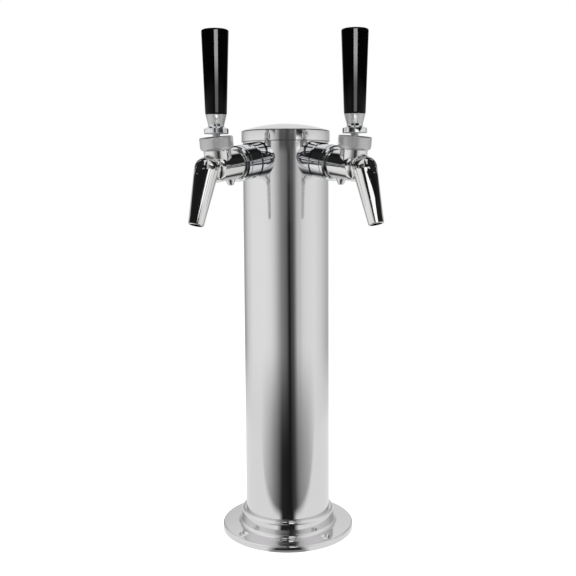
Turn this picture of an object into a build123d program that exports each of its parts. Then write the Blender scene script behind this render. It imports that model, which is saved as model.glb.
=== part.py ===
"""Double faucet beer tower: a capped column on a bolt-down flange, with two forward-sealing faucets.

Millimetres, +Z up. The origin is the middle of the flange's underside, and -Y is the front.
Each faucet is laid out along the axis of its shank, which points outward and a little down. Distances
along that axis count from its seat, the front face of the saddle-cut shank collar.
"""

import os
from math import cos, radians, sin, sqrt, tan

from build123d import *

# Base flange and its hub
flange_t = 5.0
flange_edge_r = 1.5
flange_rim = 17.5  # flange outside its hub
hub_wall = 4.1  # hub outside the tube
hub_top = 19.5
hub_lip_r = 3.2
hub_fillet_r = 3.5
tube_seat = 4.0  # height of the ledge that the tube stands on
tube_ledge = 5.1  # width of that ledge
bolt_edge = 8.4  # from the holes' centres to the flange's edge
bolt_hole_d = 6.5
bolt_sink_d = 9.6
bolt_count = 4
bolt_turn = 5.3  # turn of the hole pattern, degrees
base_gasket_inset = 5.0  # flange left inside the ring let into its underside
base_gasket_w = 6.0
base_gasket_t = 1.5

# Column tube and its cap
tube_od = 76.2
tube_wall = 1.5
cap_wall = 1.0
cap_skirt = 9.8  # height of the band, from its lower edge to the shoulder
cap_dome_h = 6.4
cap_edge_r = 0.8
cap_seal_t = 2.0
cap_seal_w = 1.5

# Lay-out of the faucets
spread = 37.5  # turn of each shank from the front, degrees
droop = 7.5  # fall of the shank axes, degrees
shank_z = 340.6  # where the shank axes meet the column's axis
collar_reach = 12.7  # from the column's face to the seat

# Shank and what clamps it in the column's wall
shank_d = 22.2
shank_bore_d = 6.4
coupling_thread_d = 26.4
coupling_thread_len = 8.5
collar_d = 31.0
collar_edge = 0.6
washer_d = 30.0
washer_t = 5.0
shank_nut_af = 27.0
shank_nut_t = 6.5
shank_tail = 5.0  # shank showing behind its nut

# Tail elbow
elbow_plug_d = 8.0
elbow_plug_len = 7.0
elbow_collar_d = 12.0
elbow_collar_t = 2.0
elbow_d = 8.4
elbow_arm = 5.0
elbow_drop = 6.0
elbow_bore_d = 4.4
barb_d = 8.6
barb_root_d = 6.8
barb_pitch = 5.0
barb_count = 4

# Coupling nut
coupling_wall = 1.9  # nut outside its thread
coupling_nut_len = 17.5
coupling_rear_gap = 0.5  # groove between the collar and the nut
coupling_band_step = 0.2
coupling_band_len = 4.0
coupling_groove = 0.5
coupling_lip_len = 4.0
coupling_edge = 1.1
spanner_hole_d = 2.8
spanner_hole_at = 5.0
spanner_hole_count = 3
left_nut_turn = -56.0
right_nut_turn = -3.0
coupling_gasket_t = 1.5
coupling_gasket_w = 5.0

# Faucet body
body_d = 24.0
body_front_r = 6.0
body_bore_d = 12.0
valve_seat_wall = 2.7  # body ahead of the valve seat
valve_seat_d = 7.8
boss_d = 22.0
boss_h = 13.7
boss_thread_d = 21.0
boss_thread_len = 4.4
boss_fillet_r = 1.0
nose_r = 10.0
nose_ahead = 4.6  # nose's centre, ahead of the body's front
nose_h = 0.2
spout_lean = 24.5  # lean of the spout from square to the shank axis, degrees
spout_len = 46.0
spout_tip_d = 12.6
spout_bore_d = 9.8
spout_bore_len = 25.0
spout_throat_d = 9.0
spout_fillet_r = 2.2
spout_edge = 0.4
badge_d = 9.4
badge_tilt = 30.0  # lift of the badge's face from the shank axis, degrees
badge_rim = 0.8
badge_depth = 0.3
lug_ahead = 8.1  # lug's axis, ahead of the coupling nut
lug_d = 8.6
lug_tip_d = 4.2
lug_tip_r = 1.6
lug_reach = 16.6
finger_slot_w = 5.0
finger_slot_front = 4.8
finger_slot_rear = 9.4

# Bonnet and the seats of the lever's ball
bonnet_ahead = 12.5  # bonnet's axis, ahead of the lug's
bonnet_d = 26.9
bonnet_rise = 6.1  # bonnet above the boss
bonnet_lower_r = 2.9
bonnet_edge_r = 0.5
bonnet_rim_w = 0.8
dish_depth = 2.6
bonnet_roof_t = 1.2
pivot_rise = 1.1  # lever's pivot above the boss
seat_ring_d = 17.2
seat_ring_t = 5.4
seat_throat_d = 9.8

# Lever
ball_d = 11.0
finger_len = 15.5
finger_d = 2.6
finger_tip_d = 3.2
stem_d = 6.0
handle_thread_d = 9.4
lever_len = 36.0

# Shuttle, the valve rod that the lever's finger drives
shuttle_rod_d = 3.6
shuttle_disc_t = 1.5
shuttle_guide_back = 11.6  # guide disc, behind the lever's finger
shuttle_spigot_d = 7.0
shuttle_notch_d = 4.0
shuttle_notch_count = 3
seal_wire_d = 1.6

# Jam collar, ferrule and handle, with heights from the lever's pivot
jam_d = 19.8
jam_bottom = 7.3
jam_edge = 0.5
jam_shoulder = 11.4
jam_cone_top = 13.0
jam_neck_d = 13.0
jam_top = 14.8
ferrule_foot_d = 13.0
ferrule_top_d = 17.0
ferrule_h = 7.7
handle_foot_d = 17.4
handle_top_d = 22.0
handle_len = 66.4
handle_foot_r = 1.2
handle_top_r = 1.4
insert_d = 12.4
insert_len = 20.0

# Clearances
cap_fit = 0.1
cap_gap = 0.43  # between the cap's skirt and the shank collars
socket_fit = 0.05
gasket_fit = 0.1
seal_gap = 0.05
seal_slack = 0.15
shank_hole_gap = 0.25
collar_bore_gap = 0.2
saddle_gap = 0.05
thread_gap = 0.05
lip_gap = 0.4
shoulder_gap = 0.25
ring_gap = 0.3
seat_gap = 0.05
ball_fit = 0.1
finger_gap = 0.3
shuttle_fit = 0.08

# What follows from the dimensions
tube_r = tube_od / 2
tube_inner_r = tube_r - tube_wall
hub_d = tube_od + 2 * hub_wall
flange_d = hub_d + 2 * flange_rim
flange_bore_d = tube_od - 2 * tube_ledge
bolt_circle_d = flange_d - 2 * bolt_edge
base_gasket_d = flange_bore_d + 2 * base_gasket_inset + base_gasket_w
collar_top = shank_z + collar_d / 2 / cos(radians(droop)) - tube_r * tan(radians(droop))
cap_shoulder = collar_top + cap_gap + cap_skirt
tube_top = cap_shoulder - cap_wall - seal_gap - cap_seal_t
cap_outer_r = tube_r + cap_fit + cap_wall
inner_wall_at = -(collar_reach + tube_wall) / cos(radians(droop))
washer_face_at = inner_wall_at - washer_t
nut_face_at = washer_face_at - shank_nut_t
shank_end_at = nut_face_at - shank_tail
coupling_nut_d = coupling_thread_d + 2 * coupling_wall
coupling_band_d = coupling_nut_d - 2 * coupling_band_step
body_rear_at = coupling_thread_len + coupling_gasket_t
body_shoulder_d = coupling_thread_d + 2 * thread_gap - 2 * shoulder_gap
lip_at = coupling_nut_len - coupling_lip_len
boss_top = boss_h + boss_thread_len
pivot_h = boss_top + pivot_rise
bonnet_top = boss_top + bonnet_rise
friction_ring_d = boss_thread_d - 2 * ring_gap
roof_h = bonnet_top - dish_depth
cavity_h = roof_h - bonnet_roof_t
lug_at = coupling_nut_len + lug_ahead
bonnet_at = lug_at + bonnet_ahead
finger_at = bonnet_at + finger_len * sin(radians(droop))
fork = finger_tip_d / 2 + finger_gap
shuttle_guide_at = finger_at - shuttle_guide_back
shuttle_front_at = finger_at + fork + shuttle_disc_t
valve_seat_at = shuttle_front_at + seal_wire_d + seal_gap + seal_slack
body_len = valve_seat_at + valve_seat_wall
nose_at = body_len + nose_ahead
ferrule_top = jam_top + ferrule_h
handle_foot = ferrule_top + seat_gap
handle_top = handle_foot + handle_len
LEFT, RIGHT = -1, 1


def shank_axis(side):
    """Direction of a shank, outward from the column."""
    turn, fall = radians(spread), radians(droop)
    return Vector(side * sin(turn) * cos(fall), -cos(turn) * cos(fall), -sin(fall))


def shank_up(side):
    """Direction square to the shank in its upright plane, the way the bonnet points."""
    turn, fall = radians(spread), radians(droop)
    return Vector(side * sin(turn) * sin(fall), -cos(turn) * sin(fall), cos(fall))


def along(side, distance=0.0):
    """Point on a shank's axis, at a distance from its seat."""
    seat_distance = (tube_r + collar_reach) / cos(radians(droop))
    return Vector(0, 0, shank_z) + shank_axis(side) * (seat_distance + distance)


def shank_profile(side):
    """Upright plane of a shank: local x runs along the shank and local y is the radius."""
    axis = shank_axis(side)
    return Plane(origin=along(side), x_dir=axis, z_dir=axis.cross(shank_up(side)))


def shank_section(side, distance):
    """Plane square to a shank, with local y pointing up."""
    axis = shank_axis(side)
    return Plane(origin=along(side, distance), x_dir=shank_up(side).cross(axis), z_dir=axis)


def bonnet_plane(side, height=0.0):
    """Plane square to the bonnet, with local x pointing along the shank."""
    up = shank_up(side)
    return Plane(origin=along(side, bonnet_at) + up * height, x_dir=shank_axis(side), z_dir=up)


def bonnet_profile(side):
    """Upright plane of a bonnet: local x is the height over the shank and local y is the radius."""
    up = shank_up(side)
    return Plane(origin=along(side, bonnet_at), x_dir=up, z_dir=up.cross(shank_axis(side)))


def pivot(side):
    """Centre of the lever's ball."""
    return along(side, bonnet_at) + shank_up(side) * pivot_h


def upright_profile(side, drop=False):
    """Plane on the pivot: local x is the height, or the drop, and local y is the radius."""
    outward = Vector(side * sin(radians(spread)), -cos(radians(spread)), 0)
    upward = Vector(0, 0, -1 if drop else 1)
    return Plane(origin=pivot(side), x_dir=upward, z_dir=upward.cross(outward))


def nose_centre(side):
    """Centre of the round nose at the top of the spout."""
    return along(side, nose_at) + shank_up(side) * nose_h


def spout_profile(side):
    """Plane on the nose: local x runs down the spout and local y is the radius."""
    lean = radians(spout_lean)
    down = shank_axis(side) * sin(lean) - shank_up(side) * cos(lean)
    return Plane(origin=nose_centre(side), x_dir=down, z_dir=down.cross(shank_axis(side)))


def badge_profile(side):
    """Plane on the nose: local x points out through the badge and local y is the radius."""
    tilt = radians(badge_tilt)
    out = shank_axis(side) * cos(tilt) + shank_up(side) * sin(tilt)
    return Plane(origin=nose_centre(side), x_dir=out, z_dir=out.cross(shank_up(side)))


def turn(plane, outline, mode=Mode.ADD):
    """Turned solid about the plane's x axis, from an outline of (distance, radius) points."""
    with BuildSketch(plane) as section:
        with BuildLine():
            Polyline(*outline, close=True)
        make_face()
    revolve(section.sketch, axis=Axis(plane.origin, plane.x_dir), mode=mode)


def turn_ring(plane, start, end, outer_d, inner_d=0.0, mode=Mode.ADD):
    """Turned ring or rod between two distances."""
    inner, outer = inner_d / 2, outer_d / 2
    turn(plane, [(start, inner), (start, outer), (end, outer), (end, inner)], mode)


def rims(builder, plane, distance, diameter):
    """Round edges of a builder's part, at a distance along a profile plane."""
    found = ShapeList()
    for edge in builder.edges().filter_by(GeomType.CIRCLE):
        centre = plane.to_local_coords(edge.arc_center)
        if abs(centre.X - distance) < 1e-3 and abs(edge.radius - diameter / 2) < 1e-3:
            found.append(edge)
    return found


# --- Tower ---

tower = Plane(origin=(0, 0, 0), x_dir=(0, 0, 1), z_dir=(0, 1, 0))
tower_axis_height = cap_shoulder + cap_dome_h

with BuildPart() as base_flange:
    bore_r = flange_bore_d / 2
    socket_r = tube_r + socket_fit
    turn(
        tower,
        [
            (0, bore_r),
            (0, flange_d / 2),
            (flange_t, flange_d / 2),
            (flange_t, hub_d / 2),
            (hub_top, hub_d / 2),
            (hub_top, socket_r),
            (tube_seat, socket_r),
            (tube_seat, bore_r),
        ],
    )
    fillet(rims(base_flange, tower, flange_t, flange_d), radius=flange_edge_r)
    fillet(rims(base_flange, tower, flange_t, hub_d), radius=hub_fillet_r)
    fillet(rims(base_flange, tower, hub_top, hub_d), radius=hub_lip_r)
    turn_ring(
        tower,
        0,
        base_gasket_t,
        base_gasket_d + base_gasket_w + 2 * gasket_fit,
        base_gasket_d - base_gasket_w - 2 * gasket_fit,
        Mode.SUBTRACT,
    )
    with Locations(Plane.XY.offset(flange_t)):
        with PolarLocations(bolt_circle_d / 2, bolt_count, 45 - bolt_turn):
            CounterSinkHole(bolt_hole_d / 2, bolt_sink_d / 2)

with BuildPart() as base_gasket:
    turn_ring(tower, 0, base_gasket_t, base_gasket_d + base_gasket_w, base_gasket_d - base_gasket_w)

with BuildPart() as column:
    turn_ring(tower, tube_seat, tube_top, tube_od, tube_od - 2 * tube_wall)
    for side in (LEFT, RIGHT):
        turn_ring(
            shank_profile(side),
            inner_wall_at - tube_r / 2,
            0,
            shank_d + 2 * shank_hole_gap,
            mode=Mode.SUBTRACT,
        )

with BuildPart() as cap_seal:
    turn_ring(tower, tube_top, tube_top + cap_seal_t, tube_od, tube_od - 2 * cap_seal_w)

with BuildPart() as cap:
    dome_top = cap_shoulder + cap_dome_h
    roof = cap_shoulder - cap_wall
    cap_inner_r = tube_r + cap_fit
    land_r = tube_r - cap_seal_w
    with BuildSketch(tower):
        with BuildLine():
            Polyline(
                (roof, land_r),
                (roof, cap_inner_r),
                (cap_shoulder - cap_skirt, cap_inner_r),
                (cap_shoulder - cap_skirt, cap_outer_r),
                (cap_shoulder, cap_outer_r),
            )
            dome_r = (cap_outer_r**2 + cap_dome_h**2) / (2 * cap_dome_h)
            outer_mid = dome_top - dome_r + sqrt(dome_r**2 - (cap_outer_r / 2) ** 2)
            ThreePointArc((cap_shoulder, cap_outer_r), (outer_mid, cap_outer_r / 2), (dome_top, 0))
            Line((dome_top, 0), (dome_top - cap_wall, 0))
            inner_mid = outer_mid - cap_wall
            ThreePointArc((dome_top - cap_wall, 0), (inner_mid, cap_outer_r / 2), (roof, land_r))
        make_face()
    revolve(axis=Axis.Z)
    fillet(rims(cap, tower, cap_shoulder, 2 * cap_outer_r), radius=cap_edge_r)


# --- Faucet pieces, each made for one side ---


def make_shank(side):
    """Hollow threaded shank with a larger coupling thread in front and a socket for the elbow."""
    plane = shank_profile(side)
    with BuildPart() as shank:
        turn_ring(plane, shank_end_at, -seat_gap, shank_d)
        turn_ring(plane, -seat_gap, coupling_thread_len, coupling_thread_d)
        chamfer(rims(shank, plane, coupling_thread_len, coupling_thread_d), length=0.8)
        turn_ring(plane, shank_end_at, coupling_thread_len, shank_bore_d, mode=Mode.SUBTRACT)
        turn_ring(
            plane,
            shank_end_at,
            shank_end_at + elbow_plug_len + seat_gap,
            elbow_plug_d + 2 * thread_gap,
            mode=Mode.SUBTRACT,
        )
    return shank


def make_shank_collar(side):
    """Spacer on the shank, cut to the column's curve at the back."""
    plane = shank_profile(side)
    with BuildPart() as collar:
        start = inner_wall_at - washer_t
        turn_ring(plane, start, -seat_gap, collar_d, shank_d + 2 * collar_bore_gap)
        chamfer(rims(collar, plane, -seat_gap, collar_d), length=collar_edge)
        turn_ring(tower, 0, tower_axis_height, tube_od + 2 * saddle_gap, mode=Mode.SUBTRACT)
    return collar


def make_backing_washer(side):
    """Thick washer inside the column, curved to the wall and flat behind."""
    plane = shank_profile(side)
    with BuildPart() as washer:
        turn_ring(plane, washer_face_at, 0, washer_d, shank_d + 2 * collar_bore_gap)
        turn_ring(
            tower,
            0,
            tower_axis_height,
            2 * (tube_inner_r - saddle_gap),
            mode=Mode.INTERSECT,
        )
    return washer


def make_shank_nut(side):
    """Hexagon nut that clamps the shank from inside the column."""
    plane = shank_profile(side)
    with BuildPart() as nut:
        with BuildSketch(shank_section(side, nut_face_at)):
            RegularPolygon(radius=shank_nut_af / 2, side_count=6, major_radius=False)
            Circle(shank_d / 2 + thread_gap, mode=Mode.SUBTRACT)
        extrude(amount=shank_nut_t)
        chamfer(rims(nut, plane, nut_face_at, shank_d + 2 * thread_gap), length=0.6)
    return nut


def make_tail_elbow(side):
    """Elbow in the shank's tail that turns down to a hose barb."""
    plane = shank_profile(side)
    corner_at = shank_end_at - elbow_collar_t - elbow_arm
    corner = along(side, corner_at)
    drop = Plane(origin=corner, x_dir=(0, 0, -1), z_dir=(0, 1, 0))
    barb_outline = [(0, 0), (0, elbow_d / 2), (elbow_drop, elbow_d / 2)]
    for barb in range(barb_count):
        start = elbow_drop + barb * barb_pitch
        barb_outline.append((start, barb_root_d / 2 if barb == 0 else barb_d / 2))
        barb_outline.append((start + 1.0, barb_root_d / 2))
        barb_outline.append((start + 1.0, barb_d / 2))
        barb_outline.append((start + barb_pitch, barb_root_d / 2))
    barb_end = elbow_drop + barb_count * barb_pitch
    barb_outline.append((barb_end, 0))
    with BuildPart() as elbow:
        turn_ring(plane, shank_end_at, shank_end_at + elbow_plug_len, elbow_plug_d)
        turn_ring(plane, shank_end_at - elbow_collar_t, shank_end_at, elbow_collar_d)
        turn_ring(plane, corner_at, shank_end_at - elbow_collar_t, elbow_d)
        with Locations(corner):
            Sphere(elbow_d / 2)
        turn(drop, barb_outline)
        turn_ring(
            plane, corner_at, shank_end_at + elbow_plug_len, elbow_bore_d, mode=Mode.SUBTRACT
        )
        with Locations(corner):
            Sphere(elbow_bore_d / 2, mode=Mode.SUBTRACT)
        turn_ring(drop, 0, barb_end, elbow_bore_d, mode=Mode.SUBTRACT)
    return elbow


def make_coupling_nut(side):
    """Round nut with spanner holes and a lip that draws the faucet onto the shank."""
    plane = shank_profile(side)
    nut_turn = left_nut_turn if side == LEFT else right_nut_turn
    band_at = coupling_nut_len - coupling_band_len
    thread_bore_d = coupling_thread_d + 2 * thread_gap
    lip_bore_d = body_d + 2 * lip_gap
    with BuildPart() as nut:
        turn_ring(plane, coupling_rear_gap, band_at - coupling_groove, coupling_nut_d)
        groove_d = coupling_band_d - 2 * coupling_groove
        turn_ring(plane, band_at - coupling_groove, band_at, groove_d)
        turn_ring(plane, band_at, coupling_nut_len, coupling_band_d)
        chamfer(rims(nut, plane, coupling_nut_len, coupling_band_d), length=coupling_edge)
        chamfer(rims(nut, plane, coupling_rear_gap, coupling_nut_d), length=coupling_edge / 2)
        turn_ring(plane, 0, lip_at, thread_bore_d, mode=Mode.SUBTRACT)
        turn_ring(plane, lip_at, coupling_nut_len, lip_bore_d, mode=Mode.SUBTRACT)
        centre = along(side, spanner_hole_at)
        level = shank_section(side, 0)
        for hole in range(spanner_hole_count):
            angle = radians(nut_turn + hole * 360 / spanner_hole_count)
            toward_front = level.x_dir * (-side)
            radial = toward_front * cos(angle) + level.y_dir * sin(angle)
            with BuildSketch(Plane(origin=centre, x_dir=level.z_dir, z_dir=radial)):
                Circle(spanner_hole_d / 2)
            extrude(amount=coupling_nut_d, mode=Mode.SUBTRACT)
    return nut


def make_coupling_gasket(side):
    """Flat seal between the shank's face and the faucet."""
    with BuildPart() as gasket:
        outer_d = coupling_thread_d - 1.0
        turn_ring(
            shank_profile(side),
            coupling_thread_len,
            body_rear_at,
            outer_d,
            outer_d - 2 * coupling_gasket_w,
        )
    return gasket


def make_faucet_body(side):
    """Faucet body: round barrel, nose with a plain badge, spout, bonnet boss and a small lug."""
    plane = shank_profile(side)
    boss = bonnet_profile(side)
    badge = badge_profile(side)
    spout = spout_profile(side)
    down = shank_up(side) * -1
    lug = Plane(origin=along(side, lug_at), x_dir=down, z_dir=down.cross(shank_axis(side)))
    badge_at = sqrt(nose_r**2 - (badge_d / 2) ** 2)
    barrel_start = lip_at - seat_gap
    with BuildPart() as body:
        turn_ring(plane, barrel_start, body_len, body_d)
        fillet(rims(body, plane, body_len, body_d), radius=body_front_r)
        spout_outline = [(0, 0), (0, nose_r)]
        spout_outline += [(spout_len, spout_tip_d / 2), (spout_len, 0)]
        turn(spout, spout_outline)
        with Locations(nose_centre(side)):
            Sphere(nose_r)
        fillet(body.edges().filter_by(GeomType.BSPLINE), radius=spout_fillet_r)
        turn_ring(boss, 0, boss_h, boss_d)
        fillet(body.edges(Select.NEW).filter_by(GeomType.BSPLINE), radius=boss_fillet_r)
        turn_ring(boss, boss_h, boss_top, boss_thread_d)
        turn_ring(plane, body_rear_at, barrel_start, body_shoulder_d)
        lug_outline = [(body_bore_d / 2 + 1, 0), (body_bore_d / 2 + 1, lug_d / 2)]
        lug_outline += [(body_d / 2, lug_d / 2), (lug_reach, lug_tip_d / 2), (lug_reach, 0)]
        turn(lug, lug_outline)
        fillet(rims(body, lug, lug_reach, lug_tip_d), radius=lug_tip_r)
        chamfer(rims(body, spout, spout_len, spout_tip_d), length=spout_edge)
        turn_ring(badge, badge_at, nose_r, 2 * nose_r, mode=Mode.SUBTRACT)
        badge_floor = badge_at - badge_depth
        turn_ring(badge, badge_floor, badge_at, badge_d - 2 * badge_rim, mode=Mode.SUBTRACT)
        turn_ring(plane, body_rear_at, valve_seat_at, body_bore_d, mode=Mode.SUBTRACT)
        turn_ring(plane, valve_seat_at, nose_at, valve_seat_d, mode=Mode.SUBTRACT)
        spout_bore_at = spout_len - spout_bore_len
        turn_ring(spout, 0, spout_bore_at, spout_throat_d, mode=Mode.SUBTRACT)
        turn_ring(spout, spout_bore_at, spout_len, spout_bore_d, mode=Mode.SUBTRACT)
        with Locations(nose_centre(side)):
            Sphere(spout_throat_d / 2, mode=Mode.SUBTRACT)
        pocket_d = seat_ring_d + 2 * thread_gap
        turn_ring(boss, boss_top - seat_ring_t, boss_top, pocket_d, mode=Mode.SUBTRACT)
        slot_len = finger_slot_front + finger_slot_rear
        with BuildSketch(bonnet_plane(side)):
            with Locations(((finger_slot_front - finger_slot_rear) / 2, 0)):
                RectangleRounded(slot_len, finger_slot_w, finger_slot_w / 2 - 0.1)
        extrude(amount=boss_top - seat_ring_t, mode=Mode.SUBTRACT)
    return body


def make_bonnet(side):
    """Round bonnet nut with a dished top that the lever comes out of."""
    plane = bonnet_profile(side)
    dish_d = bonnet_d - 2 * bonnet_rim_w
    with BuildPart() as bonnet:
        turn_ring(plane, boss_h + seat_gap, bonnet_top, bonnet_d)
        fillet(rims(bonnet, plane, boss_h + seat_gap, bonnet_d), radius=bonnet_lower_r)
        turn_ring(plane, roof_h, bonnet_top, dish_d, mode=Mode.SUBTRACT)
        fillet(rims(bonnet, plane, bonnet_top, bonnet_d), radius=bonnet_edge_r)
        cavity_d = boss_thread_d + 2 * thread_gap
        turn_ring(plane, 0, cavity_h, cavity_d, mode=Mode.SUBTRACT)
        with Locations(pivot(side)):
            Sphere(ball_d / 2 + ball_fit, mode=Mode.SUBTRACT)
    return bonnet


def make_ball_seat(side):
    """Seat ring under the lever's ball, pressed into the boss."""
    plane = bonnet_profile(side)
    with BuildPart() as seat:
        turn_ring(plane, boss_top - seat_ring_t, boss_top, seat_ring_d, seat_throat_d)
        with Locations(pivot(side)):
            Sphere(ball_d / 2 + ball_fit, mode=Mode.SUBTRACT)
    return seat


def make_friction_ring(side):
    """Ring round the ball's widest part, held down by the bonnet."""
    plane = bonnet_profile(side)
    with BuildPart() as ring:
        turn_ring(plane, boss_top + seat_gap, cavity_h - seat_gap, friction_ring_d)
        with Locations(pivot(side)):
            Sphere(ball_d / 2 + ball_fit, mode=Mode.SUBTRACT)
    return ring


def make_lever(side):
    """Lever: ball, finger below it, and a stem with the handle's thread above it."""
    rise = upright_profile(side)
    drop = upright_profile(side, drop=True)
    with BuildPart() as lever:
        with Locations(pivot(side)):
            Sphere(ball_d / 2)
        turn_ring(rise, 0, jam_bottom, stem_d)
        turn_ring(rise, jam_bottom, lever_len, handle_thread_d)
        chamfer(rims(lever, rise, lever_len, handle_thread_d), length=0.8)
        turn_ring(drop, 0, finger_len, finger_d)
        with Locations(drop.origin + drop.x_dir * finger_len):
            Sphere(finger_tip_d / 2)
    return lever


def make_shuttle(side):
    """Valve rod: guide disc, two discs that hold the finger, and a spigot for the seal."""
    plane = shank_profile(side)
    disc_d = body_bore_d - 2 * shuttle_fit
    disc_starts = (
        shuttle_guide_at,
        finger_at - fork - shuttle_disc_t,
        finger_at + fork,
    )
    with BuildPart() as shuttle:
        turn_ring(plane, shuttle_guide_at, shuttle_front_at, shuttle_rod_d)
        for start in disc_starts:
            turn_ring(plane, start, start + shuttle_disc_t, disc_d)
        turn_ring(plane, shuttle_front_at, valve_seat_at - seal_gap, shuttle_spigot_d)
        for notch in range(shuttle_notch_count):
            angle = radians(notch * 360 / shuttle_notch_count - 90)
            level = shank_section(side, shuttle_guide_at)
            with BuildSketch(level):
                with Locations((disc_d / 2 * cos(angle), disc_d / 2 * sin(angle))):
                    Circle(shuttle_notch_d / 2)
            extrude(amount=finger_at + fork - shuttle_guide_at, mode=Mode.SUBTRACT)
    return shuttle


def make_front_seal(side):
    """O-ring on the shuttle's spigot that closes against the valve seat."""
    plane = shank_profile(side)
    centre_at = valve_seat_at - seal_gap - seal_wire_d / 2
    centre_r = (shuttle_spigot_d + seal_wire_d) / 2
    with BuildPart() as seal:
        with BuildSketch(plane) as section:
            with Locations((centre_at, centre_r)):
                Circle(seal_wire_d / 2)
        revolve(section.sketch, axis=Axis(plane.origin, plane.x_dir))
    return seal


def make_jam_collar(side):
    """Round jam nut on the lever's thread, with a coned shoulder and a neck."""
    rise = upright_profile(side)
    bore_r = handle_thread_d / 2 + thread_gap
    neck_r = jam_neck_d / 2
    with BuildPart() as collar:
        outline = [
            (jam_bottom, bore_r),
            (jam_bottom, jam_d / 2),
            (jam_shoulder, jam_d / 2),
            (jam_cone_top, neck_r),
            (jam_top, neck_r),
            (jam_top, bore_r),
        ]
        turn(rise, outline)
        chamfer(rims(collar, rise, jam_bottom, jam_d), length=jam_edge)
    return collar


def make_ferrule(side):
    """Coned ferrule between the jam collar and the handle."""
    rise = upright_profile(side)
    bore_r = handle_thread_d / 2 + thread_gap
    foot = jam_top + seat_gap
    with BuildPart() as ferrule:
        outline = [
            (foot, bore_r),
            (foot, ferrule_foot_d / 2),
            (ferrule_top, ferrule_top_d / 2),
            (ferrule_top, bore_r),
        ]
        turn(rise, outline)
    return ferrule


def make_handle_insert(side):
    """Threaded bush moulded into the handle."""
    rise = upright_profile(side)
    with BuildPart() as insert:
        bore_d = handle_thread_d + 2 * thread_gap
        turn_ring(rise, handle_foot, handle_foot + insert_len, insert_d, bore_d)
    return insert


def make_tap_handle(side):
    """Tapered handle, widest at its rounded top."""
    rise = upright_profile(side)
    with BuildPart() as handle:
        outline = [(handle_foot, 0), (handle_foot, handle_foot_d / 2)]
        outline += [(handle_top, handle_top_d / 2), (handle_top, 0)]
        turn(rise, outline)
        fillet(rims(handle, rise, handle_foot, handle_foot_d), radius=handle_foot_r)
        fillet(rims(handle, rise, handle_top, handle_top_d), radius=handle_top_r)
        pocket_end = handle_foot + insert_len + seat_gap
        pocket_d = insert_d + 2 * thread_gap
        turn_ring(rise, handle_foot, pocket_end, pocket_d, mode=Mode.SUBTRACT)
    return handle


pieces = {
    "shank": make_shank,
    "shank_collar": make_shank_collar,
    "backing_washer": make_backing_washer,
    "shank_nut": make_shank_nut,
    "tail_elbow": make_tail_elbow,
    "coupling_nut": make_coupling_nut,
    "coupling_gasket": make_coupling_gasket,
    "faucet_body": make_faucet_body,
    "bonnet": make_bonnet,
    "ball_seat": make_ball_seat,
    "friction_ring": make_friction_ring,
    "lever": make_lever,
    "shuttle": make_shuttle,
    "front_seal": make_front_seal,
    "jam_collar": make_jam_collar,
    "ferrule": make_ferrule,
    "handle_insert": make_handle_insert,
    "tap_handle": make_tap_handle,
}

os.makedirs("parts", exist_ok=True)

base_flange.part.label = "base_flange"
export_step(base_flange.part, "parts/base_flange.step")
base_gasket.part.label = "base_gasket"
export_step(base_gasket.part, "parts/base_gasket.step")
column.part.label = "column"
export_step(column.part, "parts/column.step")
cap_seal.part.label = "cap_seal"
export_step(cap_seal.part, "parts/cap_seal.step")
cap.part.label = "cap"
export_step(cap.part, "parts/cap.step")

for side_name, side in (("left", LEFT), ("right", RIGHT)):
    for piece_name, make_piece in pieces.items():
        piece = make_piece(side)
        piece.part.label = f"{side_name}_{piece_name}"
        export_step(piece.part, f"parts/{side_name}_{piece_name}.step")
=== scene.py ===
"""Finishes for a double faucet beer tower: polished steel, chrome and black tap handles.

The file is laid out as an add-on and run as a script. Lengths are in metres unless a name says mm.
"""

from math import cos, pi, radians, sin

import bmesh
import bpy
from mathutils import Matrix, Vector


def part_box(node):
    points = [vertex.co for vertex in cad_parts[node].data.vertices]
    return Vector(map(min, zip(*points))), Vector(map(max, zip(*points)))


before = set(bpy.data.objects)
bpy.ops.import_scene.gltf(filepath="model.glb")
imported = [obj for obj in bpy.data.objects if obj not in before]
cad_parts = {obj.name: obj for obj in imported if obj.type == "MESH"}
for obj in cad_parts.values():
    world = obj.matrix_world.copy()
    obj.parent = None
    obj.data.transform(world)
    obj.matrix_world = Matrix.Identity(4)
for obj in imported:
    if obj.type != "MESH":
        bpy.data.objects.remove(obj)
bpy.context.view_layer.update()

bl_info = {
    "name": "Beer Tower Dresser",
    "version": (1, 0, 0),
    "blender": (4, 5, 0),
    "location": "3D View > Sidebar > Beer Tower",
    "description": "Finishes the metal, seals and tap handles of a double faucet beer tower",
    "category": "Object",
}

SIDES = ("left", "right")
SIGN = {"left": -1, "right": 1}
# Each shank points this far to its side of the front, and falls this much on its way out
SPREAD = radians(37.5)
DROOP = radians(7.5)


def linear(hex_colour):
    """An sRGB hex colour as linear red, green and blue."""
    channels = [int(hex_colour[i : i + 2], 16) / 255 for i in (1, 3, 5)]
    return tuple(c / 12.92 if c <= 0.04045 else ((c + 0.055) / 1.055) ** 2.4 for c in channels)


def colour(name, description, hex_colour):
    """A colour property with a picker."""
    return bpy.props.FloatVectorProperty(
        name=name,
        description=description,
        subtype="COLOR",
        size=3,
        min=0,
        max=1,
        default=linear(hex_colour),
    )


def share(name, description, default):
    """A property from 0 to 1."""
    return bpy.props.FloatProperty(
        name=name, description=description, subtype="FACTOR", min=0, max=1, default=default
    )


def length(name, description, default):
    """A length property."""
    return bpy.props.FloatProperty(
        name=name, description=description, unit="LENGTH", precision=5, default=default
    )


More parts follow.
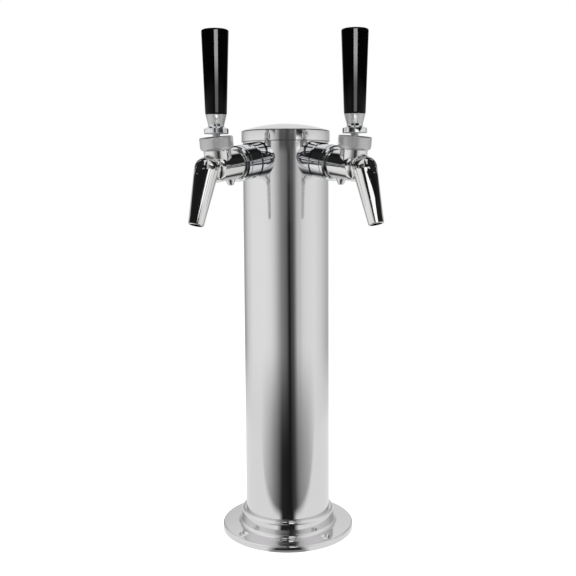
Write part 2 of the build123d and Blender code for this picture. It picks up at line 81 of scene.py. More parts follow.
class TowerMetals(bpy.types.PropertyGroup):
    """Colours and gloss of the metal pieces."""

    polished_steel: colour("Polished steel", "Column, cap and flange", "#E0DFE0")
    polished_gloss: share("Polished roughness", "Blur of the column's reflections", 0.07)
    # Painted shade: this is the width of a thin dark line painted into the steel's colour at the
    # cap's foot and rim. Buffing leaves no such line.
    buff_line: length("Buffing line", "Spacing of the column's buffing marks", 0.0009)
    seam_shade_width: length("Seam line", "Width of the dark line that buffing leaves at an edge", 0.0009)
    cap_foot: length("Cap's foot", "Height of the cap's lower edge", 0.3519)
    cap_rim: length("Cap's rim", "Height of the edge between the cap's band and its dome", 0.3610)
    mirror_steel: colour("Mirror steel", "Faucet bodies and spouts", "#E2E2E1")
    mirror_gloss: share("Mirror roughness", "Blur of the faucets' reflections", 0.035)
    chrome: colour("Chrome", "Collars and coupling nuts", "#E4E6E8")
    chrome_gloss: share("Chrome roughness", "Blur of the chrome's reflections", 0.03)
    satin_steel: colour("Satin steel", "Bonnets, ferrules and levers", "#CBCBCB")
    satin_gloss: share("Satin roughness", "Blur of the satin turning", 0.36)
    turning_line: length("Turning line", "Spacing of the lathe marks on satin steel", 0.0006)
    nickel: colour("Nickel plate", "Shanks, their nuts and the handles' inserts", "#B9B09C")
    nickel_gloss: share("Nickel roughness", "Blur of the nickel's reflections", 0.22)


class TowerPlastics(bpy.types.PropertyGroup):
    """Colours and gloss of the handles, seats and seals."""

    handle_black: colour("Handle black", "Tap handles", "#050505")
    handle_gloss: share("Handle roughness", "Blur of the handles' reflections", 0.06)
    acetal: colour("Acetal", "Seat rings and valve rods", "#E6E4DC")
    acetal_gloss: share("Acetal roughness", "Blur of the seats' sheen", 0.42)
    rubber: colour("Rubber", "Gaskets and seals", "#161616")
    rubber_gloss: share("Rubber roughness", "Blur of the seals' sheen", 0.7)


class TowerStudio(bpy.types.PropertyGroup):
    """Camera, floor and lights."""

    focal_px: bpy.props.FloatProperty(
        name="Focal length",
        description="In pixels of a picture 576 wide",
        subtype="PIXEL",
        default=830.63,
    )
    camera_distance: length("Camera distance", "In front of the column's axis", 0.7448165)
    camera_height: length("Camera height", "Over the floor", 0.318)
    camera_pitch: bpy.props.FloatProperty(
        name="Camera pitch", description="Downward tilt", subtype="ANGLE", default=0.0991
    )
    camera_roll: bpy.props.FloatProperty(
        name="Camera roll", description="Turn about the view", subtype="ANGLE", default=0.0062
    )
    floor_size: length("Floor size", "Side of the pale floor", 9.0)
    wall_radius: length("Wall radius", "Distance of the reflected studio wall", 1.0)
    wall_height: length("Wall height", "Height of the reflected studio wall", 1.2)
    pale_height: length("Pale height", "Height up to which that wall is pale", 0.435)


# --- Materials ---

# Sizes of pattern in millimetres. Buffing, turning and casting leave finer marks than these, and
# than the lines in the metals' settings: all are drawn as coarse as they need to show.
HAND_HAZE = 45.4545
MIRROR_RIPPLE = 3.84615
MIRROR_SMEAR = 14.2857
SATIN_GRAIN = 1.11111
PLATING_WASH = 8.33333
MOULD_RIPPLE = 5.55556
HANDLE_SCUFF = 16.6667
ACETAL_GRAIN = 1.42857
RUBBER_GRAIN = 0.666667
# Scale upwards over scale across, which draws a pattern out into upright marks
BUFF_STRETCH = 0.012
RIPPLE_STRETCH = 0.12
# Brightness of the painted shade line at the cap's foot and rim, as a share of the steel's
PAINTED_SEAM_SHADE = 0.45
# Matched to the handles: at phenolic's own 1.6 the pale studio greys the black
HANDLE_IOR = 1.2
ACETAL_IOR = 1.48
RUBBER_IOR = 1.52


def per_metre(size_mm):
    """Scale of a pattern whose features have a size in millimetres."""
    return 1000 / size_mm


def node(tree, kind, settings=None, inputs=None, stops=None):
    """A node with its settings, its input values or links, and its ramp's stops."""
    made = tree.nodes.new(kind)
    for name, value in (settings or {}).items():
        setattr(made, name, value)
    for name, value in (inputs or {}).items():
        if isinstance(value, bpy.types.NodeSocket):
            tree.links.new(value, made.inputs[name])
        else:
            made.inputs[name].default_value = value
    if stops:
        elements = made.color_ramp.elements
        while len(elements) < len(stops):
            elements.new(1.0)
        for element, (position, grey) in zip(elements, sorted(stops)):
            element.position = position
            element.color = (grey, grey, grey, 1)
    return made


def new_material(name):
    """An empty node material and its tree."""
    material = bpy.data.materials.new(name)
    material.use_nodes = True
    material.node_tree.nodes.clear()
    return material, material.node_tree


def finish(tree, shader):
    """Joins a shader to the material's output."""
    node(tree, "ShaderNodeOutputMaterial", inputs={"Surface": shader})


def rgba(value):
    """A colour property's value with full opacity."""
    return (value[0], value[1], value[2], 1.0)


def shade(value, factor):
    """A colour made lighter or darker."""
    return tuple(min(1.0, c * factor) for c in value) + (1.0,)


def polished_stainless(metals):
    """Stainless tube polished on a buff: a soft mirror with faint upright marks and hand haze.

    The cap's foot and rim get a thin painted shade line, where the steel's colour is darkened to
    stand in for shade.
    """
    material, tree = new_material("stainless_304_buffed")
    place = node(tree, "ShaderNodeTexCoord").outputs["Object"]
    lines_per_m = 1 / metals.buff_line
    stretched = node(
        tree,
        "ShaderNodeMapping",
        inputs={
            "Vector": place,
            "Scale": (lines_per_m, lines_per_m, lines_per_m * BUFF_STRETCH),
        },
    ).outputs["Vector"]
    marks = node(
        tree, "ShaderNodeTexNoise", inputs={"Vector": stretched, "Scale": 1.0, "Detail": 3.0}
    ).outputs["Fac"]
    haze = node(
        tree,
        "ShaderNodeTexNoise",
        inputs={"Vector": place, "Scale": per_metre(HAND_HAZE), "Detail": 2.0},
    ).outputs["Fac"]
    rough = node(
        tree,
        "ShaderNodeMapRange",
        inputs={
            "Value": haze,
            "From Min": 0.3,
            "From Max": 0.7,
            "To Min": metals.polished_gloss * 0.8,
            "To Max": metals.polished_gloss * 1.25,
        },
    ).outputs["Result"]
    tone = node(
        tree,
        "ShaderNodeMix",
        {"data_type": "RGBA"},
        {
            "Factor": haze,
            "A": shade(metals.polished_steel, 0.985),
            "B": shade(metals.polished_steel, 1.015),
        },
    ).outputs["Result"]
    # Painted shade: a thin dark line painted into the steel's colour at the cap's foot and rim
    height = node(tree, "ShaderNodeSeparateXYZ", inputs={"Vector": place}).outputs["Z"]
    seam_shade_masks = [
        node(
            tree,
            "ShaderNodeMath",
            {"operation": "COMPARE"},
            {0: height, 1: level, 2: metals.seam_shade_width / 2},
        ).outputs["Value"]
        for level in (metals.cap_foot, metals.cap_rim)
    ]
    seam_shade_mask = node(
        tree, "ShaderNodeMath", {"operation": "MAXIMUM"}, {0: seam_shade_masks[0], 1: seam_shade_masks[1]}
    ).outputs["Value"]
    seam_shaded_tone = node(
        tree,
        "ShaderNodeMix",
        {"data_type": "RGBA"},
        {"Factor": seam_shade_mask, "A": tone, "B": shade(metals.polished_steel, PAINTED_SEAM_SHADE)},
    ).outputs["Result"]
    relief = node(
        tree,
        "ShaderNodeBump",
        inputs={"Height": marks, "Strength": 0.10, "Distance": 0.00004},
    ).outputs["Normal"]
    steel = node(
        tree,
        "ShaderNodeBsdfPrincipled",
        inputs={"Base Color": seam_shaded_tone, "Metallic": 1.0, "Roughness": rough, "Normal": relief},
    )
    finish(tree, steel.outputs["BSDF"])
    return material


def mirror_metal(name, tint, gloss):
    """Cast or turned metal buffed to a mirror, with a faint orange-peel ripple."""
    material, tree = new_material(name)
    place = node(tree, "ShaderNodeTexCoord").outputs["Object"]
    ripple = node(
        tree,
        "ShaderNodeTexNoise",
        inputs={"Vector": place, "Scale": per_metre(MIRROR_RIPPLE), "Detail": 1.0},
    ).outputs["Fac"]
    smear = node(
        tree,
        "ShaderNodeTexNoise",
        inputs={"Vector": place, "Scale": per_metre(MIRROR_SMEAR), "Detail": 3.0},
    ).outputs["Fac"]
    rough = node(
        tree,
        "ShaderNodeMapRange",
        inputs={
            "Value": smear,
            "From Min": 0.35,
            "From Max": 0.75,
            "To Min": gloss * 0.7,
            "To Max": gloss * 1.5,
        },
    ).outputs["Result"]
    tone = node(
        tree,
        "ShaderNodeMix",
        {"data_type": "RGBA"},
        {"Factor": smear, "A": shade(tint, 0.97), "B": shade(tint, 1.02)},
    ).outputs["Result"]
    relief = node(
        tree,
        "ShaderNodeBump",
        inputs={"Height": ripple, "Strength": 0.06, "Distance": 0.00005},
    ).outputs["Normal"]
    metal = node(
        tree,
        "ShaderNodeBsdfPrincipled",
        inputs={"Base Color": tone, "Metallic": 1.0, "Roughness": rough, "Normal": relief},
    )
    finish(tree, metal.outputs["BSDF"])
    return material


def satin_stainless(metals, name, centre, axis):
    """Stainless turned on a lathe and left satin: fine rings round the axis.

    The rings spread the light along the axis.
    """
    material, tree = new_material(name)
    place = node(tree, "ShaderNodeTexCoord").outputs["Object"]
    from_axis = node(
        tree, "ShaderNodeVectorMath", {"operation": "SUBTRACT"}, {0: place, 1: centre}
    ).outputs["Vector"]
    height = node(
        tree, "ShaderNodeVectorMath", {"operation": "DOT_PRODUCT"}, {0: from_axis, 1: axis}
    ).outputs["Value"]
    ring_place = node(
        tree, "ShaderNodeMath", {"operation": "MULTIPLY"}, {0: height, 1: 1 / metals.turning_line}
    ).outputs["Value"]
    rings = node(
        tree,
        "ShaderNodeTexNoise",
        {"noise_dimensions": "1D"},
        {"W": ring_place, "Scale": 1.0, "Detail": 4.0},
    ).outputs["Fac"]
    grain = node(
        tree,
        "ShaderNodeTexNoise",
        inputs={"Vector": place, "Scale": per_metre(SATIN_GRAIN), "Detail": 2.0},
    ).outputs["Fac"]
    around = node(
        tree, "ShaderNodeVectorMath", {"operation": "CROSS_PRODUCT"}, {0: axis, 1: from_axis}
    ).outputs["Vector"]
    tangent = node(
        tree, "ShaderNodeVectorMath", {"operation": "NORMALIZE"}, {0: around}
    ).outputs["Vector"]
    tone = node(
        tree,
        "ShaderNodeMix",
        {"data_type": "RGBA"},
        {
            "Factor": rings,
            "A": shade(metals.satin_steel, 0.94),
            "B": shade(metals.satin_steel, 1.05),
        },
    ).outputs["Result"]
    rough = node(
        tree,
        "ShaderNodeMapRange",
        inputs={
            "Value": grain,
            "From Min": 0.3,
            "From Max": 0.7,
            "To Min": metals.satin_gloss * 0.85,
            "To Max": metals.satin_gloss * 1.15,
        },
    ).outputs["Result"]
    relief = node(
        tree,
        "ShaderNodeBump",
        inputs={"Height": rings, "Strength": 0.05, "Distance": 0.00003},
    ).outputs["Normal"]
    steel = node(
        tree,
        "ShaderNodeBsdfPrincipled",
        inputs={
            "Base Color": tone,
            "Metallic": 0.8,
            "Roughness": rough,
            "Anisotropic": 0.6,
            "Anisotropic Rotation": 0.25,
            "Tangent": tangent,
            "Normal": relief,
        },
    )
    finish(tree, steel.outputs["BSDF"])
    return material


def nickel_plated_brass(metals):
    """Brass bar with a thin nickel plate: warm grey, half bright, with a mottled wash."""
    material, tree = new_material("brass_nickel_plated")
    place = node(tree, "ShaderNodeTexCoord").outputs["Object"]
    wash = node(
        tree,
        "ShaderNodeTexNoise",
        inputs={"Vector": place, "Scale": per_metre(PLATING_WASH), "Detail": 4.0},
    ).outputs["Fac"]
    tone = node(
        tree,
        "ShaderNodeMix",
        {"data_type": "RGBA"},
        {"Factor": wash, "A": shade(metals.nickel, 0.9), "B": shade(metals.nickel, 1.08)},
    ).outputs["Result"]
    metal = node(
        tree,
        "ShaderNodeBsdfPrincipled",
        inputs={"Base Color": tone, "Metallic": 1.0, "Roughness": metals.nickel_gloss},
    )
    finish(tree, metal.outputs["BSDF"])
    return material


def phenolic_black(plastics):
    """Black phenolic moulded and buffed: deep black under a hard gloss, with fine mould ripple."""
    material, tree = new_material("phenolic_gloss_black")
    place = node(tree, "ShaderNodeTexCoord").outputs["Object"]
    stretched = node(
        tree, "ShaderNodeMapping", inputs={"Vector": place, "Scale": (1.0, 1.0, RIPPLE_STRETCH)}
    ).outputs["Vector"]
    ripple = node(
        tree,
        "ShaderNodeTexNoise",
        inputs={"Vector": stretched, "Scale": per_metre(MOULD_RIPPLE), "Detail": 2.0},
    ).outputs["Fac"]
    scuff = node(
        tree,
        "ShaderNodeTexNoise",
        inputs={"Vector": place, "Scale": per_metre(HANDLE_SCUFF), "Detail": 4.0},
    ).outputs["Fac"]
    rough = node(
        tree,
        "ShaderNodeMapRange",
        inputs={
            "Value": scuff,
            "From Min": 0.35,
            "From Max": 0.75,
            "To Min": plastics.handle_gloss * 0.7,
            "To Max": plastics.handle_gloss * 1.8,
        },
    ).outputs["Result"]
    relief = node(
        tree,
        "ShaderNodeBump",
        inputs={"Height": ripple, "Strength": 0.05, "Distance": 0.0001},
    ).outputs["Normal"]
    plastic = node(
        tree,
        "ShaderNodeBsdfPrincipled",
        inputs={
            "Base Color": rgba(plastics.handle_black),
            "Roughness": rough,
            "IOR": HANDLE_IOR,
            "Normal": relief,
        },
    )
    finish(tree, plastic.outputs["BSDF"])
    return material


def moulded_plastic(name, tint, gloss, grain_mm, ior):
    """Machined acetal or moulded rubber: even colour with a fine matt grain."""
    material, tree = new_material(name)
    place = node(tree, "ShaderNodeTexCoord").outputs["Object"]
    grain = node(
        tree,
        "ShaderNodeTexNoise",
        inputs={"Vector": place, "Scale": per_metre(grain_mm), "Detail": 3.0},
    ).outputs["Fac"]
    tone = node(
        tree,
        "ShaderNodeMix",
        {"data_type": "RGBA"},
        {"Factor": grain, "A": shade(tint, 0.92), "B": shade(tint, 1.06)},
    ).outputs["Result"]
    relief = node(
        tree,
        "ShaderNodeBump",
        inputs={"Height": grain, "Strength": 0.25, "Distance": 0.00008},
    ).outputs["Normal"]
    plastic = node(
        tree,
        "ShaderNodeBsdfPrincipled",
        inputs={"Base Color": tone, "Roughness": gloss, "IOR": ior, "Normal": relief},
    )
    finish(tree, plastic.outputs["BSDF"])
    return material


def put_on(material, *names):
    """Gives CAD nodes a material."""
    for name in names:
        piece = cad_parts[name]
        if not piece.material_slots:
            piece.data.materials.append(material)
        for slot in piece.material_slots:
            slot.material = material


def middle(name):
    """Middle of a CAD node's box."""
    low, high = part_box(name)
    return (low + high) / 2


def bonnet_axis(side):
    """Direction that a bonnet points in, square to its shank."""
    turn = SIGN[side] * sin(SPREAD)
    return Vector((turn * sin(DROOP), -cos(SPREAD) * sin(DROOP), cos(DROOP)))


# --- Operators ---


class TOWER_OT_column(bpy.types.Operator):
    """Polishes the column, its cap and the flange"""

    bl_idname = "tower.column"
    bl_label = "Column, cap and flange"

    def execute(self, context):
        steel = polished_stainless(context.scene.tower_metals)
        put_on(steel, "column", "cap", "base_flange")
        return {"FINISHED"}


class TOWER_OT_faucets(bpy.types.Operator):
    """Buffs the faucet bodies to a mirror"""

    bl_idname = "tower.faucets"
    bl_label = "Faucet bodies"

    def execute(self, context):
        metals = context.scene.tower_metals
        mirror = mirror_metal("stainless_cast_mirror", metals.mirror_steel, metals.mirror_gloss)
        put_on(mirror, *[f"{side}_faucet_body" for side in SIDES])
        return {"FINISHED"}


class TOWER_OT_couplings(bpy.types.Operator):
    """Plates the shank collars, the coupling nuts and the jam collars"""

    bl_idname = "tower.couplings"
    bl_label = "Collars and coupling nuts"

    def execute(self, context):
        metals = context.scene.tower_metals
        chrome = mirror_metal("brass_chrome_plated", metals.chrome, metals.chrome_gloss)
        for side in SIDES:
            put_on(chrome, f"{side}_shank_collar", f"{side}_coupling_nut", f"{side}_jam_collar")
        return {"FINISHED"}


class TOWER_OT_bonnets(bpy.types.Operator):
    """Turns the bonnets, ferrules, levers, washers and elbows to a satin finish"""

    bl_idname = "tower.bonnets"
    bl_label = "Bonnets, ferrules and levers"

    def execute(self, context):
        metals = context.scene.tower_metals
        for side in SIDES:
            bonnet = satin_stainless(
                metals,
                f"stainless_turned_satin_{side}_bonnet",
                middle(f"{side}_bonnet"),
                bonnet_axis(side),
            )
            put_on(bonnet, f"{side}_bonnet")
            upright = satin_stainless(
                metals,
                f"stainless_turned_satin_{side}_lever",
                middle(f"{side}_ferrule"),
                Vector((0, 0, 1)),
            )
            put_on(upright, f"{side}_ferrule", f"{side}_lever")
            put_on(upright, f"{side}_backing_washer", f"{side}_tail_elbow")
        return {"FINISHED"}


class TOWER_OT_shanks(bpy.types.Operator):
    """Plates the shanks, their nuts and the handles' inserts with nickel"""

    bl_idname = "tower.shanks"
    bl_label = "Shanks and inserts"

    def execute(self, context):
        nickel = nickel_plated_brass(context.scene.tower_metals)
        for side in SIDES:
            put_on(nickel, f"{side}_shank", f"{side}_shank_nut", f"{side}_handle_insert")
        return {"FINISHED"}


class TOWER_OT_handles(bpy.types.Operator):
    """Moulds the tap handles in gloss black"""

    bl_idname = "tower.handles"
    bl_label = "Tap handles"

    def execute(self, context):
        black = phenolic_black(context.scene.tower_plastics)
        put_on(black, *[f"{side}_tap_handle" for side in SIDES])
        return {"FINISHED"}


class TOWER_OT_seals(bpy.types.Operator):
    """Makes the seats and valve rods in acetal and the seals in rubber"""

    bl_idname = "tower.seals"
    bl_label = "Seats and seals"

    def execute(self, context):
        plastics = context.scene.tower_plastics
        acetal = moulded_plastic(
            "acetal_machined_white",
            plastics.acetal,
            plastics.acetal_gloss,
            ACETAL_GRAIN,
            ACETAL_IOR,
        )
        rubber = moulded_plastic(
            "rubber_moulded_black",
            plastics.rubber,
            plastics.rubber_gloss,
            RUBBER_GRAIN,
            RUBBER_IOR,
        )
        put_on(rubber, "cap_seal", "base_gasket")
        for side in SIDES:
            put_on(acetal, f"{side}_ball_seat", f"{side}_friction_ring", f"{side}_shuttle")
            put_on(rubber, f"{side}_front_seal", f"{side}_coupling_gasket")
        return {"FINISHED"}


# --- Studio ---

# Brightness of the studio round the tower, by direction in turns: 0 is behind it, 0.5 in front
WALL_TONES = [
    (0.0, 0.8),
    (0.04, 0.55),
    (0.083, 0.37),
    (0.161, 0.78),
    (0.214, 0.93),
    (0.26, 0.94),
    (0.333, 0.95),
    (0.375, 0.9),
    (0.405, 0.82),
    (0.42, 0.65),
    (0.435, 0.52),
    (0.449, 0.4),
    (0.464, 0.27),
    (0.492, 0.175),
    (0.506, 0.11),
    (0.516, 0.02),
    (0.526, 0.015),
    (0.535, 0.07),
    (0.549, 0.09),
    (0.564, 0.28),
    (0.579, 0.59),
    (0.6155, 0.8),
    (0.65, 0.87),
    (0.7, 0.9),
    (0.72, 0.9),
    (0.763, 0.83),
    (0.811, 0.73),
    (0.875, 0.53),
    (0.93, 0.5),
    (0.97, 0.75),
    (1.0, 0.8),
]
# The same for the floor in front, close to the tower
FRONT_TONES = [
    (0.0, 0.85),
    (0.30, 0.85),
    (0.333, 0.66),
    (0.368, 0.50),
    (0.40, 0.33),
    (0.431, 0.17),
    (0.462, 0.023),
    (0.4925, 0.016),
    (0.5225, 0.011),
    (0.553, 0.064),
    (0.583, 0.28),
    (0.6155, 0.38),
    (0.65, 0.48),
    (0.683, 0.63),
    (0.72, 0.85),
    (1.0, 0.85),
]
# And for the floor round the flange: pale, with a dark gap in front
NEAR_TONES = [
    (0.0, 0.88),
    (0.445, 0.88),
    (0.468, 0.02),
    (0.532, 0.015),
    (0.555, 0.88),
    (1.0, 0.88),
]
# The studio's upper part: dark, with a pale back
UPPER_TONES = [(0.0, 0.82), (0.07, 0.80), (0.12, 0.012), (0.88, 0.012), (0.93, 0.80), (1.0, 0.82)]
# Over head height: pale in front but for a dark gap, and pale behind
TOP_TONES = [
    (0.0, 0.82),
    (0.07, 0.80),
    (0.12, 0.012),
    (0.28, 0.012),
    (0.33, 0.85),
    (0.465, 0.85),
    (0.483, 0.012),
    (0.517, 0.012),
    (0.535, 0.85),
    (0.67, 0.85),
    (0.72, 0.012),
    (0.88, 0.012),
    (0.93, 0.80),
    (1.0, 0.82),
]
# The flag before the cap, from its left end to its right one
FLAG_TONES = [
    (0.0, 0.58),
    (0.09, 0.45),
    (0.18, 0.3),
    (0.225, 0.14),
    (0.27, 0.1),
    (0.455, 0.065),
    (0.52, 0.02),
    (0.56, 0.01),
    (0.63, 0.03),
    (0.714, 0.06),
    (0.81, 0.055),
    (0.91, 0.15),
    (0.97, 0.4),
    (1.0, 0.5),
]

# The floor lies this far under the flange, so that the two don't share a plane
FLOOR_GAP = 0.0003
# Distances from the column's axis over which the floor in front takes on the wall's tones
FAR_FLOOR = (0.22, 0.95)
# Round the flange it has tones of its own, behind this line in front and within these distances
FRONT_FLOOR_END = (-0.11, -0.08)
BESIDE_FLANGE = (0.45, 0.30)
# Close to the flange it is a paler ring, which the lower half of the flange's rim mirrors
RIM_RING = (0.0655, 0.0630)
RIM_RING_GREY = (0.32, 0.32, 0.32, 1.0)

# Flat sides that the round wall is made of
WALL_SIDES = 96
# Half the height over which the wall turns from pale to dark
PALE_BLUR = 0.03
# Steps in the wall's tones and light: along which axis, where each starts and ends, and how far
# it goes
WALL_STEPS = {
    "top": ("Z", 0.80, 0.90, 1.0),
    "over_faucets": ("Z", 0.43, 0.47, 0.5),
    "beside": ("Y", -0.35, -0.05, 1.0),
    "right": ("X", 0.15, 0.35, 1.0),
    "before_back": ("Y", 0.65, 0.45, 1.0),
}

# name: centre, width, depth, height, brightness of its lower and of its upper part
CARDS = {
    "handle_card": ((0.07, -0.60, 0.4370), 0.30, 0, 0.133, 13.0, 41.0),
    "spout_card": ((0.10, -0.36, 0.367), 0.16, 0.26, 0, 1.3, 1.3),
    "spout_card_far": ((0.40, -0.52, 0.367), 0.24, 0.24, 0, 1.3, 1.3),
    "level_flag": ((0.06, -0.38, 0.3700), 0.34, 0.47, 0, 0.01, 0.01),
}
# Half the height over which a card turns from its lower to its upper brightness
CARD_BLUR = 0.02

# Middle of the tray on the right, its width and its depth
TRAY_PLACE = (0.34, -0.03, 0.20)
TRAY_SIZE = (0.56, 0.78)

FLAG_PLACE = (0.0, -0.13, 0.3545)
FLAG_WIDTH = 0.112
FLAG_HEIGHT = 0.035
# Heights between which the flag goes from the wall's tones to its own
FLAG_BLEND = (0.341, 0.354)
# The wall's tones on the flag are drawn in by this much, because it is nearer than the wall
FLAG_SQUEEZE = 1.16

# name: place, side, brightness
SOFT_BOXES = {
    "box_right": ((1.30, -0.35, 0.7), 0.6, 1.6),
    "box_left": ((-1.30, -0.35, 0.7), 0.6, 1.6),
    "overhead": ((0, -0.2, 1.5), 1.2, 1.6),
}
SOFT_BOX_AIM = Vector((0, 0, 0.2))

# Share of the white air that lights matt surfaces
MATT_AIR = 0.6
# What the floor adds to its own shading, so that it reads as white
FLOOR_LIFT = 0.6

PICTURE_PX = 576
SENSOR_MM = 36
CAMERA_SHIFT = (0.00287, -0.0434)


def studio_direction(tree, place):
    """Share of a turn round the tower of a point, 0.5 in front, and its parts."""
    split = node(tree, "ShaderNodeSeparateXYZ", inputs={"Vector": place})
    back = node(
        tree, "ShaderNodeMath", {"operation": "MULTIPLY"}, {0: split.outputs["Y"], 1: -1.0}
    ).outputs["Value"]
    angle = node(
        tree, "ShaderNodeMath", {"operation": "ARCTAN2"}, {0: split.outputs["X"], 1: back}
    ).outputs["Value"]
    turns = node(
        tree,
        "ShaderNodeMapRange",
        inputs={"Value": angle, "From Min": -pi, "From Max": pi, "To Min": 0.0, "To Max": 1.0},
    ).outputs["Result"]
    return turns, split


def tone_ramp(tree, turns, stops):
    """Grey by direction."""
    return node(tree, "ShaderNodeValToRGB", inputs={"Fac": turns}, stops=stops).outputs["Color"]


def stage_piece(name, shape, material, seen):
    """A mesh of the studio; one that isn't seen shows only in reflections."""
    mesh = bpy.data.meshes.new(name)
    shape.to_mesh(mesh)
    shape.free()
    mesh.materials.append(material)
    piece = bpy.data.objects.new(name, mesh)
    bpy.context.scene.collection.objects.link(piece)
    piece.visible_camera = seen
    piece.visible_diffuse = seen
    piece.visible_shadow = seen
    piece.visible_transmission = seen


class TOWER_OT_stage(bpy.types.Operator):
    """Sets out the floor, the reflected studio, the lights and the camera"""

    bl_idname = "tower.stage"
    bl_label = "Studio"

    def execute(self, context):
        studio = context.scene.tower_studio
        self.floor(studio)
        self.wall(studio)
        self.ceiling(studio)
        self.cards()
        self.cap_flag()
        self.trays()
        self.lights(context.scene)
        self.world(context.scene)
        self.camera(context.scene, studio)
        context.scene.view_settings.view_transform = "Standard"
        return {"FINISHED"}

    def floor(self, studio):
        """Pale floor: white to the eye, with the object's shadow, and toned in reflections."""
        material, tree = new_material("studio_floor")
        place = node(tree, "ShaderNodeTexCoord").outputs["Object"]
        turns, split = studio_direction(tree, place)
        distance = node(
            tree, "ShaderNodeVectorMath", {"operation": "LENGTH"}, {0: place}
        ).outputs["Value"]
        far, past_front, beside, rim_ring = [
            node(
                tree,
                "ShaderNodeMapRange",
                {"interpolation_type": "SMOOTHSTEP"},
                {"Value": value, "From Min": begin, "From Max": end},
            ).outputs["Result"]
            for value, (begin, end) in (
                (distance, FAR_FLOOR),
                (split.outputs["Y"], FRONT_FLOOR_END),
                (distance, BESIDE_FLANGE),
                (distance, RIM_RING),
            )
        ]
        front = node(
            tree,
            "ShaderNodeMix",
            {"data_type": "RGBA"},
            {
                "Factor": far,
                "A": tone_ramp(tree, turns, FRONT_TONES),
                "B": tone_ramp(tree, turns, WALL_TONES),
            },
        ).outputs["Result"]
        round_flange = node(
            tree, "ShaderNodeMath", {"operation": "MULTIPLY"}, {0: past_front, 1: beside}
        ).outputs["Value"]
        spread = node(
            tree,
            "ShaderNodeMix",
            {"data_type": "RGBA"},
            {"Factor": round_flange, "A": front, "B": tone_ramp(tree, turns, NEAR_TONES)},
        ).outputs["Result"]
        tones = node(
            tree,
            "ShaderNodeMix",
            {"data_type": "RGBA", "blend_type": "LIGHTEN"},
            {"Factor": rim_ring, "A": spread, "B": RIM_RING_GREY},
        ).outputs["Result"]
        glow = node(tree, "ShaderNodeEmission", inputs={"Color": tones, "Strength": 1.0})
        white = node(
            tree, "ShaderNodeBsdfDiffuse", inputs={"Color": (0.8, 0.8, 0.8, 1.0)}
        ).outputs["BSDF"]
        lift = node(
            tree, "ShaderNodeEmission", inputs={"Strength": FLOOR_LIFT}
        ).outputs["Emission"]
        seen = node(tree, "ShaderNodeAddShader", inputs={0: white, 1: lift}).outputs["Shader"]
        rays = node(tree, "ShaderNodeLightPath")
        shown = node(
            tree,
            "ShaderNodeMixShader",
            inputs={0: rays.outputs["Is Camera Ray"], 1: white, 2: seen},
        ).outputs["Shader"]
        mixed = node(
            tree,
            "ShaderNodeMixShader",
            inputs={0: rays.outputs["Is Glossy Ray"], 1: shown, 2: glow.outputs["Emission"]},
        ).outputs["Shader"]
        finish(tree, mixed)
        shape = bmesh.new()
        bmesh.ops.create_grid(shape, x_segments=1, y_segments=1, size=studio.floor_size / 2)
        bmesh.ops.translate(shape, verts=shape.verts, vec=(0, 0, -FLOOR_GAP))
        stage_piece("studio_floor", shape, material, True)

    def wall(self, studio):
        """Round wall that only reflections see: pale below, dark above, brighter at the sides."""
        material, tree = new_material("studio_wall")
        place = node(tree, "ShaderNodeTexCoord").outputs["Object"]
        turns, split = studio_direction(tree, place)
        pale_limits = (studio.pale_height - PALE_BLUR, studio.pale_height + PALE_BLUR)
        steps = {
            name: node(
                tree,
                "ShaderNodeMapRange",
                {"interpolation_type": "SMOOTHSTEP"},
                {
                    "Value": split.outputs[axis],
                    "From Min": begin,
                    "From Max": end,
                    "To Max": added,
                },
            ).outputs["Result"]
            for name, (axis, begin, end, added) in {
                "upper": ("Z", *pale_limits, 1.0),
                **WALL_STEPS,
            }.items()
        }
        high_tones = node(
            tree,
            "ShaderNodeMix",
            {"data_type": "RGBA"},
            {
                "Factor": steps["top"],
                "A": tone_ramp(tree, turns, UPPER_TONES),
                "B": tone_ramp(tree, turns, TOP_TONES),
            },
        ).outputs["Result"]
        tones = node(
            tree,
            "ShaderNodeMix",
            {"data_type": "RGBA"},
            {
                "Factor": steps["upper"],
                "A": tone_ramp(tree, turns, WALL_TONES),
                "B": high_tones,
            },
        ).outputs["Result"]
        aside = node(
            tree,
            "ShaderNodeMath",
            {"operation": "MAXIMUM"},
            {0: steps["beside"], 1: steps["right"]},
        ).outputs["Value"]
        brighter = node(
            tree, "ShaderNodeMath", {"operation": "MULTIPLY"}, {0: aside, 1: steps["before_back"]}
        ).outputs["Value"]
        strength = node(
            tree,
            "ShaderNodeMath",
            {"operation": "MULTIPLY_ADD"},
            {0: steps["over_faucets"], 1: brighter, 2: 1.0},
        ).outputs["Value"]
        glow = node(tree, "ShaderNodeEmission", inputs={"Color": tones, "Strength": strength})
        finish(tree, glow.outputs["Emission"])
        shape = bmesh.new()
        bmesh.ops.create_cone(
            shape,
            cap_ends=False,
            segments=WALL_SIDES,
            radius1=studio.wall_radius,
            radius2=studio.wall_radius,
            depth=studio.wall_height,
        )
        bmesh.ops.translate(shape, verts=shape.verts, vec=(0, 0, studio.wall_height / 2))
        stage_piece("studio_wall", shape, material, False)

    def trays(self):
        """Level trays beside the column: the wall's tones from below, and clear from above."""
        material, tree = new_material("studio_tray")
        place = node(tree, "ShaderNodeTexCoord").outputs["Object"]
        turns = studio_direction(tree, place)[0]
        glow = node(
            tree,
            "ShaderNodeEmission",
            inputs={"Color": tone_ramp(tree, turns, WALL_TONES), "Strength": 1.0},
        ).outputs["Emission"]
        clear = node(tree, "ShaderNodeBsdfTransparent").outputs["BSDF"]
        below = node(tree, "ShaderNodeNewGeometry").outputs["Backfacing"]
        shown = node(
            tree, "ShaderNodeMixShader", inputs={0: below, 1: clear, 2: glow}
        ).outputs["Shader"]
        finish(tree, shown)
        across, along, height = TRAY_PLACE
        for side in SIDES:
            centre = (SIGN[side] * across, along, height)
            self.card(f"{side}_tray", centre, *TRAY_SIZE, 0, material)

